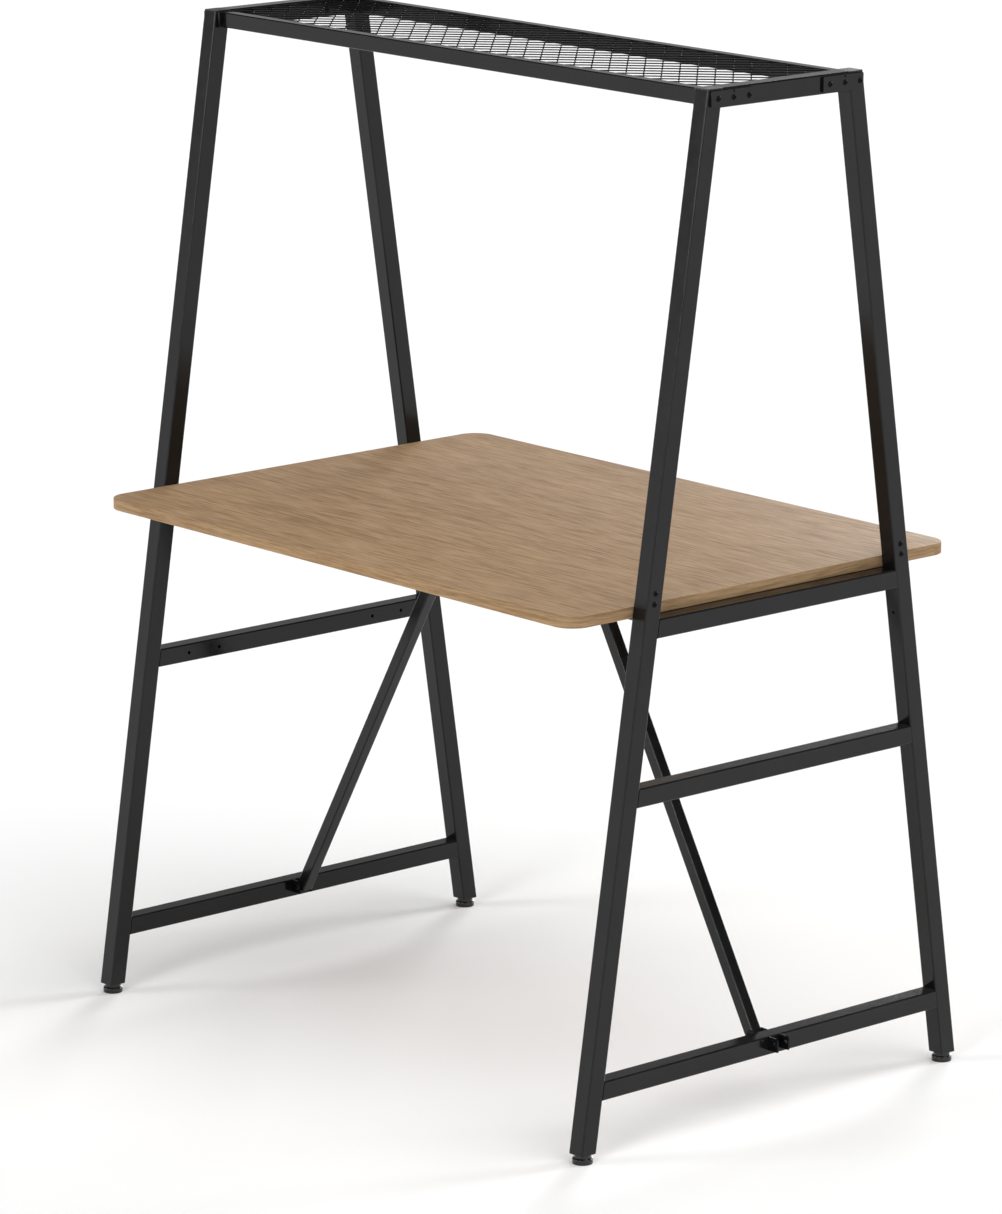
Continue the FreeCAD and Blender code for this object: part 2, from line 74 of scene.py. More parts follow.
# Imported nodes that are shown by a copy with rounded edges
SOFTENED_STEEL = dict.fromkeys(
    ("left_fork_lugs", "right_fork_lugs", "brace_top_plates", "beam_end_plates", "board_ledges"), PLATE_ROUND)
SOFTENED_STEEL["shelf_end_brackets"] = BRACKET_ROUND
SOFTENED_STEEL.update({corner + "_corner_plate": BRACKET_ROUND for corner in CORNERS})
SOFTENED_PLASTIC = {corner + "_post_cap": CAP_ROUND for corner in CORNERS}
SOFTENED_PLASTIC.update({corner + "_leg_plug": PLATE_ROUND for corner in CORNERS})


# Settings

class FinishSettings(PropertyGroup):
    """Colours and surface sizes of the materials."""
    coat_colour: FloatVectorProperty(
        name="Coat colour", description="Colour of the powder coat", subtype="COLOR",
        default=(0.0045, 0.0045, 0.0047), min=0, max=1)
    coat_roughness: FloatProperty(
        name="Coat roughness", description="Roughness of the powder coat", default=0.16, min=0, max=1)
    coat_shine: FloatProperty(
        name="Coat shine", description="Specular level of the powder coat", default=0.29, min=0, max=1)
    coat_texel: FloatProperty(
        name="Coat texture", description="Width of a bump of the powder coat", default=0.0009, unit="LENGTH")
    board_light: FloatVectorProperty(
        name="Board light", description="Lightest tone of the oak decor", subtype="COLOR",
        default=(0.415, 0.275, 0.158), min=0, max=1)
    board_middle: FloatVectorProperty(
        name="Board middle", description="Middle tone of the oak decor", subtype="COLOR",
        default=(0.341, 0.220, 0.121), min=0, max=1)
    board_dark: FloatVectorProperty(
        name="Board dark", description="Darkest tone of the oak decor", subtype="COLOR",
        default=(0.256, 0.158, 0.083), min=0, max=1)
    board_roughness: FloatProperty(
        name="Board roughness", description="Roughness of the board's surface", default=0.45, min=0, max=1)
    board_shine: FloatProperty(
        name="Board shine", description="Specular level of the board's surface", default=0.035, min=0, max=1)
    plastic_colour: FloatVectorProperty(
        name="Plastic colour", description="Colour of the caps and plugs", subtype="COLOR",
        default=(0.004, 0.004, 0.004), min=0, max=1)
    fixing_colour: FloatVectorProperty(
        name="Fixing colour", description="Colour of the blackened screws and nuts", subtype="COLOR",
        default=(0.003, 0.003, 0.003), min=0, max=1)
    zinc_colour: FloatVectorProperty(
        name="Zinc colour", description="Colour of the zinc-plated studs", subtype="COLOR",
        default=(0.56, 0.57, 0.58), min=0, max=1)


class PieceSettings(PropertyGroup):
    """Sizes of the pieces that are made here."""
    board_corner: FloatProperty(
        name="Board corner", description="Radius of the board's corners seen from above", default=0.037,
        unit="LENGTH")
    board_round: FloatProperty(
        name="Board edge round", description="Radius along the board's edges", default=0.0012, unit="LENGTH")
    corner_steps: IntProperty(
        name="Corner steps", description="Straight stretches in each corner of the board", default=24, min=4)
    wire_sides: IntProperty(name="Wire sides", description="Faces round a shelf wire", default=12, min=6)
    weld_radius: FloatProperty(
        name="Weld radius", description="Radius of the weld where two wires cross", default=0.00135,
        unit="LENGTH")
    socket_width: FloatProperty(
        name="Socket width", description="Width across the flats of a screw's hexagon socket", default=0.003,
        unit="LENGTH")
    socket_depth: FloatProperty(
        name="Socket depth", description="Depth of a screw's hexagon socket", default=0.0015, unit="LENGTH")
    thread_pitch: FloatProperty(
        name="Thread pitch", description="Pitch of the levelling studs' thread", default=0.00125,
        unit="LENGTH")
    thread_depth: FloatProperty(
        name="Thread depth", description="Depth of the levelling studs' thread", default=0.0006,
        unit="LENGTH")


class StudioSettings(PropertyGroup):
    """Floor, light and camera."""
    floor_colour: FloatVectorProperty(
        name="Floor colour", description="Colour of the floor", subtype="COLOR",
        default=(0.97, 0.97, 0.97), min=0, max=1)
    sky_low: FloatProperty(
        name="Sky low", description="Light from all round, at the height of the horizon", default=0.08, min=0)
    sky_high: FloatProperty(
        name="Sky high", description="Light from all round, straight overhead", default=0.22, min=0)
    backdrop: FloatProperty(
        name="Backdrop", description="How pale the backdrop is low down, where 1 is white", default=0.55,
        min=0)
    backdrop_blend: FloatProperty(
        name="Backdrop blend", default=0.04, min=0.001, max=1,
        description="Sine of the angle over which the white floor fades into the backdrop")
    backdrop_height: FloatProperty(
        name="Backdrop height", description="Sine of the angle at which the backdrop has faded into the sky",
        default=0.45, min=0.01, max=1)
    key_strength: FloatProperty(
        name="Key strength", description="Light from the large soft lamp overhead", default=1.34, min=0)
    key_width: FloatProperty(
        name="Key width", description="How wide the lamp overhead is, seen from the table",
        default=radians(60), subtype="ANGLE")
    key_height: FloatProperty(
        name="Key height", description="Angle of the lamp overhead above the floor", default=radians(62),
        subtype="ANGLE")
    rear_strength: FloatProperty(
        name="Rear strength", description="Light from each of the two low lamps behind", default=1.80, min=0)
    front_strength: FloatProperty(
        name="Front strength", description="Light from each of the two low lamps in front", default=1.20,
        min=0)
    fill_width: FloatProperty(
        name="Fill width", description="How wide a low lamp is, seen from the table", default=radians(20),
        subtype="ANGLE")
    fill_height: FloatProperty(
        name="Fill height", description="Angle of the low lamps above the floor", default=radians(14),
        subtype="ANGLE")
    rear_headings: FloatVectorProperty(
        name="Rear headings", description="Sides that the rear low lamps stand on, from +X towards +Y",
        default=(radians(74), radians(122)), size=2)
    front_headings: FloatVectorProperty(
        name="Front headings", description="Sides that the front low lamps stand on, from +X towards +Y",
        default=(radians(238), radians(288)), size=2)
    side_strength: FloatProperty(
        name="Side strength", description="Light from the wide lamp at the right-hand end", default=0.64,
        min=0)
    side_width: FloatProperty(
        name="Side width", description="How wide the side lamp is, seen from the table", default=radians(60),
        subtype="ANGLE")
    side_height: FloatProperty(
        name="Side height", description="Angle of the side lamp above the floor", default=radians(20),
        subtype="ANGLE")
    side_heading: FloatProperty(
        name="Side heading", description="Side that the side lamp stands on, from +X towards +Y",
        default=radians(5), subtype="ANGLE")
    focal_length: FloatProperty(
        name="Focal length", description="Focal length on a 36 mm frame, in mm", default=171.85, min=1)


# Node trees

# Sockets of a Mix node that mixes colours, which share their names with those of its other modes
MIX_FACTOR, MIX_FIRST, MIX_SECOND, MIX_RESULT = 0, 6, 7, 2


def feed(tree, node, inputs):
    """Gives a node's sockets a value or a link."""
    for key, value in inputs.items():
        if isinstance(value, NodeSocket):
            tree.links.new(value, node.inputs[key])
        else:
            node.inputs[key].default_value = value


def put(tree, kind, inputs=None, **settings):
    """Adds a node with these settings, and gives its sockets a value or a link."""
    node = tree.nodes.new(kind)
    for name, value in settings.items():
        setattr(node, name, value)
    feed(tree, node, inputs or {})
    return node


def combine(tree, operation, first, second, kind="ShaderNodeMath"):
    """Arithmetic on two values or sockets."""
    return put(tree, kind, {0: first, 1: second}, operation=operation).outputs[0]


def emptied(owner):
    """The node tree of a material or a world, with nothing in it."""
    owner.use_nodes = True
    owner.node_tree.nodes.clear()
    return owner.node_tree


def vector(tree, x=0.0, y=0.0, z=0.0):
    """A vector from three values or sockets."""
    return put(tree, "ShaderNodeCombineXYZ", {"X": x, "Y": y, "Z": z}).outputs[0]


# Materials

# Red, green and blue shares of the board's tones that its edge band has: a painted shade that makes the band
# darker than the flat faces, to offset the strong light that the low lamps throw on the edges
BAND_PAINTED_SHADE = (0.88, 0.89, 0.87)

# Layers of the oak's grain, down to its fibres: how fine each is along and across the grain, its detail, and
# its share of the tone
OAK_LAYERS = ((1.2, 7.0, 2.0, 0.6), (4.5, 42.0, 3.0, 1.1), (11.0, 170.0, 3.0, 3.0), (22.0, 430.0, 2.0, 1.8))

# How far the grain wanders sideways in metres, and how much its pores darken and roughen it
OAK_WANDER = 0.018
PORE_DARKENING = 0.30
PORE_ROUGHENING = 0.12

# Shares of the powder coat's colour, roughness, shine and texture that each kind of coated piece has
COATS = {"powder_coat": (1.0, 1.0, 1.0, 1.0), "lug_coat": (0.6, 1.6, 0.5, 1.0),
         "wire_coat": (0.7, 3.2, 0.25, 0.5)}


def principled(name):
    """A new material with one shader: its tree, that shader, and its object coordinates."""
    tree = emptied(bpy.data.materials.new(name))
    shader = put(tree, "ShaderNodeBsdfPrincipled")
    put(tree, "ShaderNodeOutputMaterial", {"Surface": shader.outputs[0]})
    return tree, shader, put(tree, "ShaderNodeTexCoord").outputs["Object"]


def noise(tree, place, scale, detail=2.0, roughness=0.5):
    """A noise value at some coordinates."""
    return put(tree, "ShaderNodeTexNoise", {
        "Vector": place, "Scale": scale, "Detail": detail, "Roughness": roughness}).outputs["Fac"]


def spread(tree, value, low, high, from_low=0.3, from_high=0.7):
    """Maps a value from one range to another."""
    return put(tree, "ShaderNodeMapRange", {"Value": value, "From Min": from_low, "From Max": from_high,
                                            "To Min": low, "To Max": high}).outputs[0]


def tinted(colour, share):
    """A colour made darker or lighter."""
    return [share * c for c in colour]


def blend_colours(tree, factor, first, second):
    """Mixes two colours."""
    first, second = (c if isinstance(c, NodeSocket) else (*c, 1.0) for c in (first, second))
    node = put(tree, "ShaderNodeMix", data_type="RGBA")
    feed(tree, node, {MIX_FACTOR: factor, MIX_FIRST: first, MIX_SECOND: second})
    return node.outputs[MIX_RESULT]


def cloudy(tree, place, colour, scale, detail, dark, light):
    """A colour that drifts between a darker and a lighter share of itself."""
    cloud = spread(tree, noise(tree, place, scale, detail), 0.0, 1.0)
    return blend_colours(tree, cloud, tinted(colour, dark), tinted(colour, light))


def drifting(tree, place, value, scale, detail, low, high):
    """A value that drifts between a lower and a higher share of itself."""
    return spread(tree, noise(tree, place, scale, detail), low * value, high * value)


def bump(tree, height, strength, distance, under=None):
    """Turns a height into a normal, on top of another one where it is given."""
    inputs = {"Height": height, "Strength": strength, "Distance": distance}
    if under is not None:
        inputs["Normal"] = under
    return put(tree, "ShaderNodeBump", inputs).outputs[0]


def stretched(tree, place, x, y):
    """Coordinates scaled along X and Y."""
    return put(tree, "ShaderNodeMapping", {"Vector": place, "Scale": (x, y, 1.0)}).outputs[0]


def coat_material(name, colour, roughness, shine, texel):
    """Powder coat: near black, glossy, with fine bumps and a slow change of sheen."""
    tree, shader, place = principled(name)
    shade = cloudy(tree, place, colour, scale=14.0, detail=3.0, dark=0.75, light=1.35)
    specks = spread(tree, noise(tree, place, scale=0.35 / texel, detail=1.0), 0.0, 0.5, 0.55, 0.75)
    waves = noise(tree, place, scale=0.30 / texel, detail=1.0)
    peel = bump(tree, waves, strength=0.10, distance=0.00006)
    grain = noise(tree, place, scale=1.0 / texel)
    feed(tree, shader, {
        "Base Color": blend_colours(tree, specks, shade, tinted(colour, 2.2)),
        "Specular IOR Level": shine,
        "Roughness": drifting(tree, place, roughness, scale=60.0, detail=4.0, low=0.86, high=1.16),
        "Normal": bump(tree, grain, strength=0.16, distance=0.00003, under=peel)})


def plastic_material(name, colour, roughness, shine, texel):
    """Moulded plastic with a faint grain."""
    tree, shader, place = principled(name)
    grain = noise(tree, place, scale=1.0 / texel)
    feed(tree, shader, {
        "Base Color": cloudy(tree, place, colour, scale=120.0, detail=3.0, dark=0.8, light=1.4),
        "Specular IOR Level": shine,
        "Roughness": drifting(tree, place, roughness, scale=300.0, detail=3.0, low=0.8, high=1.25),
        "Normal": bump(tree, grain, strength=0.2, distance=0.00004)})


def metal_material(name, colour, roughness, shine, metallic, brushed):
    """Plated or blackened metal with fine scratches and stains."""
    tree, shader, place = principled(name)
    scratches = noise(tree, stretched(tree, place, brushed, brushed), scale=600.0)
    feed(tree, shader, {
        "Base Color": cloudy(tree, place, colour, scale=220.0, detail=4.0, dark=0.75, light=1.2),
        "Metallic": metallic, "Specular IOR Level": shine,
        "Roughness": drifting(tree, place, roughness, scale=500.0, detail=3.0, low=0.8, high=1.3),
        "Normal": bump(tree, scratches, strength=0.15, distance=0.00004)})


def oak_tone(tree, place, tones):
    """Colour, pore depth and fibre height of the oak decor, with its grain along the first coordinate."""
    light, middle, dark = tones
    bend = noise(tree, stretched(tree, place, 1.3, 5.0), scale=1.6)
    bend = vector(tree, y=spread(tree, bend, -OAK_WANDER, OAK_WANDER, 0.0, 1.0))
    place = combine(tree, "ADD", place, bend, "ShaderNodeVectorMath")

    def grained(along, across, detail, roughness=0.6):
        return noise(tree, stretched(tree, place, along, across), 1.0, detail, roughness)

    tone = 0.5
    for along, across, detail, share in OAK_LAYERS:
        fibres = grained(along, across, detail)
        tone = combine(tree, "ADD", tone, spread(tree, fibres, -share / 2, share / 2, 0.0, 1.0))
    colour = blend_colours(tree, spread(tree, tone, 0.0, 1.0, 0.0, 0.5), dark, middle)
    colour = blend_colours(tree, spread(tree, tone, 0.0, 1.0, 0.5, 1.0), colour, light)
    pore = combine(tree, "MULTIPLY", spread(tree, grained(70.0, 2600.0, 1.0, 0.5), 0.0, 1.0, 0.50, 0.66),
                   spread(tree, grained(5.0, 30.0, 2.0, 0.5), 0.0, 1.0, 0.35, 0.65))
    darkening = combine(tree, "MULTIPLY", pore, PORE_DARKENING)
    return blend_colours(tree, darkening, colour, tinted(dark, 0.6)), pore, fibres


def board_material(name, look, edge):
    """Oak decor: the flat faces' grain runs along X, and the band's follows the edge by its UV map."""
    tree, shader, place = principled(name)
    tones = [look.board_light, look.board_middle, look.board_dark]
    if edge:
        place = put(tree, "ShaderNodeUVMap", uv_map="along_edge").outputs[0]
        # The band's tones are darkened by the painted shade
        tones = [[c * t for c, t in zip(tone, BAND_PAINTED_SHADE)] for tone in tones]
    colour, pore, fibres = oak_tone(tree, place, tones)
    roughness = drifting(tree, place, look.board_roughness, scale=30.0, detail=4.0, low=0.9, high=1.1)
    grain = bump(tree, fibres, strength=0.06, distance=0.0001)
    surface = combine(tree, "SUBTRACT", 1.0, pore)
    feed(tree, shader, {
        "Base Color": colour, "Specular IOR Level": look.board_shine,
        "Roughness": combine(tree, "ADD", roughness, combine(tree, "MULTIPLY", pore, PORE_ROUGHENING)),
        "Normal": bump(tree, surface, strength=0.12, distance=0.0001, under=grain)})


def finishes():
    """Makes each finish once, and returns them by name."""
    look = bpy.context.scene.table_finish
    if "powder_coat" not in bpy.data.materials:
        for name, (colour, roughness, shine, texel) in COATS.items():
            coat_material(name, tinted(look.coat_colour, colour), roughness * look.coat_roughness,
                          shine * look.coat_shine, texel * look.coat_texel)
        plastic_material("cap_plastic", look.plastic_colour, roughness=0.35, shine=0.35, texel=0.0005)
        plastic_material("foot_plastic", look.plastic_colour, roughness=0.12, shine=0.50, texel=0.0010)
        metal_material("black_fixing", look.fixing_colour, roughness=0.45, shine=0.08, metallic=0.0,
                       brushed=1.0)
        metal_material("zinc_plate", look.zinc_colour, roughness=0.30, shine=0.5, metallic=1.0, brushed=0.15)
        board_material("oak_decor", look, edge=False)
        board_material("oak_band", look, edge=True)
    return bpy.data.materials


# Mesh helpers

# Points closer than this are one, and points within the level margin are at one level, in metres
MERGE_DISTANCE = 1e-6
LEVEL_MARGIN = 1e-5

# Faces that meet at less than the flat angle become one, and edges above the sharp angle are rounded off
FLAT_ANGLE = radians(1)
SHARP_ANGLE = radians(40)
ROUNDING_STEPS = 3

# Weight of a weighted normal at which the largest face sets the shading
LARGEST_FACE = 100


def finish_piece(piece, body, slot, *nodes):
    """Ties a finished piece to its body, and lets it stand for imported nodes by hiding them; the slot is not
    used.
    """
    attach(piece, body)
    if nodes:
        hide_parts(*nodes)


def linked(name, data):
    """A new object in the scene."""
    piece = bpy.data.objects.new(name, data)
    bpy.context.scene.collection.objects.link(piece)
    return piece


def object_from(name, bm, *materials):
    """A new object from a mesh under construction."""
    mesh = bpy.data.meshes.new(name)
    bm.to_mesh(mesh)
    bm.free()
    for material in materials:
        mesh.materials.append(material)
    return linked(name, mesh)


def finish_mesh(name, bm, body, slot, node, *materials, degrees):
    """Turns a mesh under construction into a finished piece that is shaded sharp above an angle."""
    piece = object_from(name, bm, *materials)
    shade_by_angle(piece, degrees)
    finish_piece(piece, body, slot, node)


def merged_copy(node):
    """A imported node's mesh with its loose triangles joined up."""
    bm = bmesh.new()
    bm.from_mesh(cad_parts[node].data)
    bmesh.ops.remove_doubles(bm, verts=bm.verts, dist=MERGE_DISTANCE)
    return bm


def shade_by_angle(piece, degrees):
    """Smooth shading that keeps edges sharper than an angle."""
    bm = bmesh.new()
    bm.from_mesh(piece.data)
    for face in bm.faces:
        face.smooth = True
    for edge in bm.edges:
        edge.smooth = edge.calc_face_angle(pi) < radians(degrees)
    bm.to_mesh(piece.data)
    bm.free()


def plain_mesh(piece):
    """The mesh that a piece's modifiers give, which takes the piece's place."""
    graph = bpy.context.evaluated_depsgraph_get()
    mesh = bpy.data.meshes.new_from_object(piece.evaluated_get(graph))
    source = piece.data
    bpy.data.objects.remove(piece)
    bpy.data.meshes.remove(source)
    return mesh


def settled(piece, name):
    """A plain object in place of a piece that has modifiers."""
    mesh = plain_mesh(piece)
    mesh.name = name
    return linked(name, mesh)


def add_result(bm, piece):
    """Moves what a piece's modifiers give into a mesh under construction."""
    mesh = plain_mesh(piece)
    bm.from_mesh(mesh)
    bpy.data.meshes.remove(mesh)


def softened(node, slot, material, width):
    """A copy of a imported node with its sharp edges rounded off."""
    name = node + "_soft"
    bm = merged_copy(node)
    bmesh.ops.dissolve_limit(bm, angle_limit=FLAT_ANGLE, verts=bm.verts, edges=bm.edges)
    piece = object_from(name, bm, material)
    rounding = piece.modifiers.new("rounding", "BEVEL")
    rounding.width = width
    rounding.segments = ROUNDING_STEPS
    rounding.limit_method = "ANGLE"
    rounding.angle_limit = SHARP_ANGLE
    rounding.use_clamp_overlap = True
    piece = settled(piece, name)
    shade_by_angle(piece, degrees=32)
    weighting = piece.modifiers.new("weighting", "WEIGHTED_NORMAL")
    weighting.mode = "FACE_AREA"
    weighting.weight = LARGEST_FACE
    weighting.keep_sharp = True
    finish_piece(settled(piece, name), BODY, slot, node)


def islands(node):
    """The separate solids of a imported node, each as a list of points."""
    bm = merged_copy(node)
    seen, groups = set(), []
    for start in bm.verts:
        if start in seen:
            continue
        seen.add(start)
        stack, points = [start], []
        while stack:
            vert = stack.pop()
            points.append(vert.co.copy())
            for edge in vert.link_edges:
                other = edge.other_vert(vert)
                if other not in seen:
                    seen.add(other)
                    stack.append(other)
        groups.append(points)
    bm.free()
    return groups


def extent(points):
    """Lowest and highest corner of some points."""
    low = Vector([min(p[k] for p in points) for k in range(3)])
    high = Vector([max(p[k] for p in points) for k in range(3)])
    return low, high


def ring_surface(bm, rings, closed_ends=True):
    """Joins rings of equal length by quads, and closes the first and last by one face each."""
    count = len(rings[0])
    for lower, upper in zip(rings, rings[1:]):
        for k in range(count):
            after = (k + 1) % count
            bm.faces.new((lower[k], lower[after], upper[after], upper[k]))
    if closed_ends:
        bm.faces.new(rings[0][::-1])
        bm.faces.new(rings[-1])


def arc(centre_out, centre_up, radius, start, stop, steps):
    """Points (out, up) of a round stretch of a profile, with angles in degrees from the outward direction."""
    angles = [radians(start + (stop - start) * k / steps) for k in range(steps + 1)]
    return [(centre_out + radius * cos(a), centre_up + radius * sin(a)) for a in angles]


# Geometry Nodes

def new_tree(name, inputs, result):
    """A tree with these inputs and this result, and the sockets that its inputs arrive at."""
    tree = bpy.data.node_groups.new(name, "GeometryNodeTree")
    for label, kind in inputs.items():
        tree.interface.new_socket(label, in_out="INPUT", socket_type="NodeSocket" + kind)
    tree.interface.new_socket(result, in_out="OUTPUT", socket_type="NodeSocketGeometry")
    return tree, put(tree, "NodeGroupInput").outputs


def end_tree(tree, geometry, material, result):
    """Makes a tree's instances real, gives them their material, and ends the tree with them."""
    real = put(tree, "GeometryNodeRealizeInstances", {"Geometry": geometry}).outputs[0]
    painted = put(tree, "GeometryNodeSetMaterial", {"Geometry": real, "Material": material}).outputs[0]
    put(tree, "NodeGroupOutput", {result: painted})


def with_tree(piece, tree, values):
    """Puts a tree on a piece as a modifier and sets its inputs by their identifiers."""
    modifier = piece.modifiers.new(tree.name, "NODES")
    modifier.node_group = tree
    for item in tree.interface.items_tree:
        if item.in_out == "INPUT" and item.name in values:
            modifier[item.identifier] = values[item.name]


def joined(tree, *parts):
    """Several geometries as one."""
    node = put(tree, "GeometryNodeJoinGeometry")
    for part in parts:
        tree.links.new(part, node.inputs[0])
    return node.outputs[0]


def raised(tree, geometry, height):
    """A geometry moved up by a height."""
    return put(tree, "GeometryNodeTransform", {
        "Geometry": geometry, "Translation": vector(tree, z=height)}).outputs[0]


def circle(tree, sides, radius):
    """A closed curve round the Z axis."""
    return put(tree, "GeometryNodeCurvePrimitiveCircle", {"Resolution": sides, "Radius": radius}).outputs[0]


def cylinder(tree, sides, radius, depth, fill="NGON"):
    """A cylinder or prism round the Z axis, with its middle at the origin."""
    return put(tree, "GeometryNodeMeshCylinder", {
        "Vertices": sides, "Radius": radius, "Depth": depth}, fill_type=fill).outputs["Mesh"]


def share_grid(tree, columns, rows):
    """A grid, and how far round and how far up each of its points is, from 0 to 1."""
    grid = put(tree, "GeometryNodeMeshGrid", {
        "Size X": 1.0, "Size Y": 1.0, "Vertices X": columns, "Vertices Y": rows}).outputs[0]
    spot = put(tree, "ShaderNodeSeparateXYZ", {0: put(tree, "GeometryNodeInputPosition").outputs[0]}).outputs
    return grid, combine(tree, "ADD", spot["X"], 0.5), combine(tree, "ADD", spot["Y"], 0.5)


def wrapped(tree, grid, round_share, radius, height):
    """The grid wrapped once round the Z axis, at this radius and height."""
    angle = combine(tree, "MULTIPLY", round_share, 2 * pi)
    ways = [put(tree, "ShaderNodeMath", {0: angle}, operation=way).outputs[0] for way in ("COSINE", "SINE")]
    x, y = [combine(tree, "MULTIPLY", radius, way) for way in ways]
    return put(tree, "GeometryNodeSetPosition", {
        "Geometry": grid, "Position": vector(tree, x, y, height)}).outputs[0]


def attribute(tree, name, kind):
    """A named attribute of each point."""
    return put(tree, "GeometryNodeInputNamedAttribute", {"Name": name}, data_type=kind).outputs[0]


def revolve(tree, half, sides):
    """Sweeps a half profile that lies in the XZ plane round the Z axis."""
    size = put(tree, "GeometryNodeAttributeDomainSize", {"Geometry": half}, component="CURVE")
    grid, round_share, up_share = share_grid(tree, sides + 1, size.outputs["Point Count"])
    sample = put(tree, "GeometryNodeSampleCurve", {"Curves": half, "Factor": up_share}, mode="FACTOR")
    place = put(tree, "ShaderNodeSeparateXYZ", {0: sample.outputs["Position"]}).outputs
    return wrapped(tree, grid, round_share, place["X"], place["Z"])


# Board

# Straight stretches along the small round of the board's edges
EDGE_STEPS = 5


def board_outline(low, high, corner, steps):
    """Points and outward directions round the board, seen from above, anticlockwise."""
    points = []
    for x, y, start in ((high.x, high.y, 0), (low.x, high.y, 1), (low.x, low.y, 2), (high.x, low.y, 3)):
        centre = Vector((x - corner if x > 0 else x + corner, y - corner if y > 0 else y + corner))
        for k in range(steps + 1):
            angle = (start + k / steps) * pi / 2
            way = Vector((cos(angle), sin(angle)))
            points.append((centre + corner * way, way))
    return points


def make_board(sizes, materials):
    """The board: a panel with a decor on its flat faces and a band round its edge, softly rounded."""
    low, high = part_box("tabletop")
    outline = board_outline(low, high, sizes.board_corner, sizes.corner_steps)
    radius = sizes.board_round
    profile = arc(radius, low.z + radius, radius, -90, -180, EDGE_STEPS)
    profile += arc(radius, high.z - radius, radius, 180, 90, EDGE_STEPS)
    bm = bmesh.new()
    rings = [[bm.verts.new((p.x - inset * w.x, p.y - inset * w.y, z)) for p, w in outline]
             for inset, z in profile]
    ring_surface(bm, rings)
    uv = bm.loops.layers.uv.new("along_edge")
    lengths = [0.0]
    for (p, _), (q, _) in zip(outline, outline[1:] + outline[:1]):
        lengths.append(lengths[-1] + (q - p).length)
    count = len(outline)
    position = {vert: (k, r) for r, ring in enumerate(rings) for k, vert in enumerate(ring)}
    for face in bm.faces:
        flat = len(face.verts) > 4
        face.material_index = 0 if flat else 1
        wraps = not flat and {position[v][0] for v in face.verts} == {0, count - 1}
        for loop in face.loops:
            k, r = position[loop.vert]
            along = lengths[count] if wraps and k == 0 else lengths[k]
            loop[uv].uv = (along, profile[r][1])
    finish_mesh("board", bm, BODY, "oak_decor_board", "tabletop", materials["oak_decor"],
                materials["oak_band"], degrees=25)


# Shelf net

# Faces round a weld, and rows of them from pole to pole
WELD_SIDES = 8
WELD_ROWS = 5


def net_tree(name):
    """Geometry Nodes: turns edges into round wires and puts a weld on each crossing point."""
    tree, given = new_tree(name, {
        "Lines": "Geometry", "Wire Radius": "Float", "Wire Sides": "Int", "Weld Radius": "Float",
        "Material": "Material"}, "Net")
    crossing = attribute(tree, "crossing", "BOOLEAN")
    parted = put(tree, "GeometryNodeSeparateGeometry", {
        "Geometry": given["Lines"], "Selection": crossing}, domain="POINT").outputs
    line = put(tree, "GeometryNodeMeshToCurve", {"Mesh": parted["Inverted"]}).outputs[0]
    ring = circle(tree, given["Wire Sides"], given["Wire Radius"])
    wires = put(tree, "GeometryNodeCurveToMesh", {
        "Curve": line, "Profile Curve": ring, "Fill Caps": True}).outputs[0]
    drop = put(tree, "GeometryNodeMeshUVSphere", {
        "Segments": WELD_SIDES, "Rings": WELD_ROWS, "Radius": given["Weld Radius"]}).outputs[0]
    welds = put(tree, "GeometryNodeInstanceOnPoints", {
        "Points": parted["Selection"], "Instance": drop}).outputs[0]
    real = put(tree, "GeometryNodeRealizeInstances", {"Geometry": joined(tree, wires, welds)}).outputs[0]
    smooth = put(tree, "GeometryNodeSetShadeSmooth", {"Geometry": real}).outputs[0]
    end_tree(tree, smooth, given["Material"], "Net")
    return tree


def wire_lines(node):
    """Both corners of each packed wire's box, its middle, and 1 or -1 where it rises or falls along X."""
    lines = []
    for points in islands(node):
        low, high = extent(points)
        centre = sum(points, Vector()) / len(points)
        lean = sum((p.x - centre.x) * (p.y - centre.y) for p in points)
        lines.append((low, high, centre, 1 if lean > 0 else -1))
    return lines


def make_net(sizes, materials):
    """The shelf's net: straight wires in two layers, with a weld at each crossing."""
    lines = wire_lines("shelf_wires")
    radius = (lines[0][1].z - lines[0][0].z) / 2
    low, high, _, _ = max(lines, key=lambda line: line[1].y - line[0].y)
    slope = (high.y - low.y - 2 * radius) / (high.x - low.x - 2 * radius)
    window_low, window_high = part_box("shelf_wires")
    bm = bmesh.new()
    flag = bm.verts.layers.bool.new("crossing")
    wires = {1: [], -1: []}
    for low, high, centre, way in lines:
        lean = way * slope
        offset = centre.y - lean * centre.x
        first, last = sorted(((window_low.y - offset) / lean, (window_high.y - offset) / lean))
        start, stop = max(first, window_low.x), min(last, window_high.x)
        level = (low.z + high.z) / 2
        bm.edges.new([bm.verts.new((x, lean * x + offset, level)) for x in (start, stop)])
        wires[way].append((offset, start, stop, level))
    for up, up_start, up_stop, up_level in wires[1]:
        for down, down_start, down_stop, down_level in wires[-1]:
            x = (down - up) / (2 * slope)
            if max(up_start, down_start) + radius < x < min(up_stop, down_stop) - radius:
                vert = bm.verts.new((x, slope * x + up, (up_level + down_level) / 2))
                vert[flag] = True
    piece = object_from("net_lines", bm)
    with_tree(piece, net_tree("Shelf net"), {
        "Wire Radius": radius, "Wire Sides": sizes.wire_sides, "Weld Radius": sizes.weld_radius,
        "Material": materials["wire_coat"]})
    finish_piece(settled(piece, "shelf_net"), BODY, "black_wire", "shelf_wires")


# Screws

# Faces round a screw's head, shank and socket, and steps along its dome
HEAD_SIDES = 32
SHANK_SIDES = 20
SOCKET_SIDES = 6
DOME_STEPS = 10

